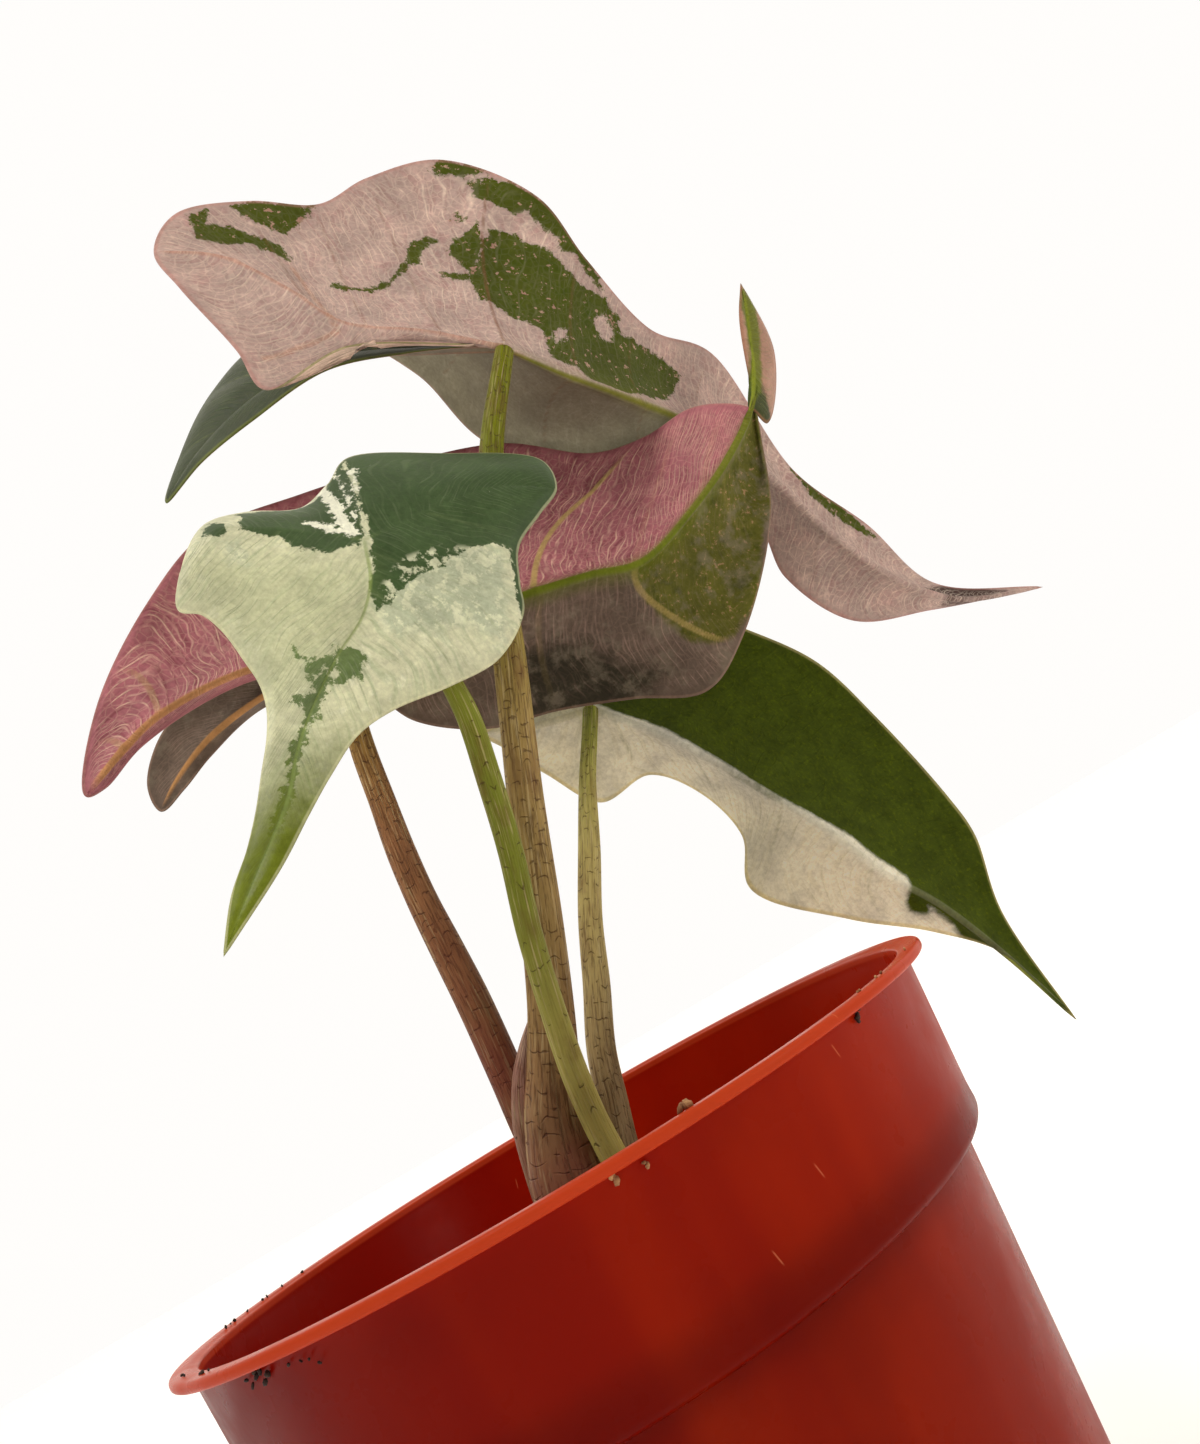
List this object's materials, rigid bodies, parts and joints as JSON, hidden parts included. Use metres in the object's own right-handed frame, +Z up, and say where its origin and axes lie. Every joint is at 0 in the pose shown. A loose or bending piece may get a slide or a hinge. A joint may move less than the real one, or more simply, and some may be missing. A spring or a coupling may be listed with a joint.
{
  "type": "potted alocasia polly",
  "caption": "Young variegated alocasia with arrow-shaped leaves on upright stalks, rooted in soil in a round tapered plastic nursery pot.",
  "frame": {"origin": "centre of the pot's underside, on the surface it stands on", "axes": "+Z up along the pot's axis, -Y towards the viewer, +X to the right"},
  "size_m": [0.2131, 0.12, 0.2753],
  "materials": {
    "pot": "glossy terracotta-coloured plastic",
    "soil": "dark crumbly potting mix",
    "corm": "rough brown skin",
    "root": "pale and smooth",
    "brown_stalk": "satin, finely ribbed lengthwise",
    "green_stalk": "satin, finely ribbed lengthwise",
    "pink_leaf": "satin, pale veins",
    "cream_leaf": "glossy above",
    "purple_leaf": "satin, pale veins",
    "green_leaf": "satin"
  },
  "bodies": {
    "root": {"pot": "pot", "soil": "soil", "corm": "corm", "root_1": "root", "root_2": "root", "root_3": "root", "root_4": "root", "root_5": "root", "root_6": "root", "top_petiole": "brown_stalk", "front_petiole": "green_stalk", "back_petiole": "brown_stalk", "right_petiole": "green_stalk", "top_blade": "pink_leaf", "front_blade": "cream_leaf", "back_blade": "purple_leaf", "right_blade": "green_leaf"}
  },
  "joints": []
}
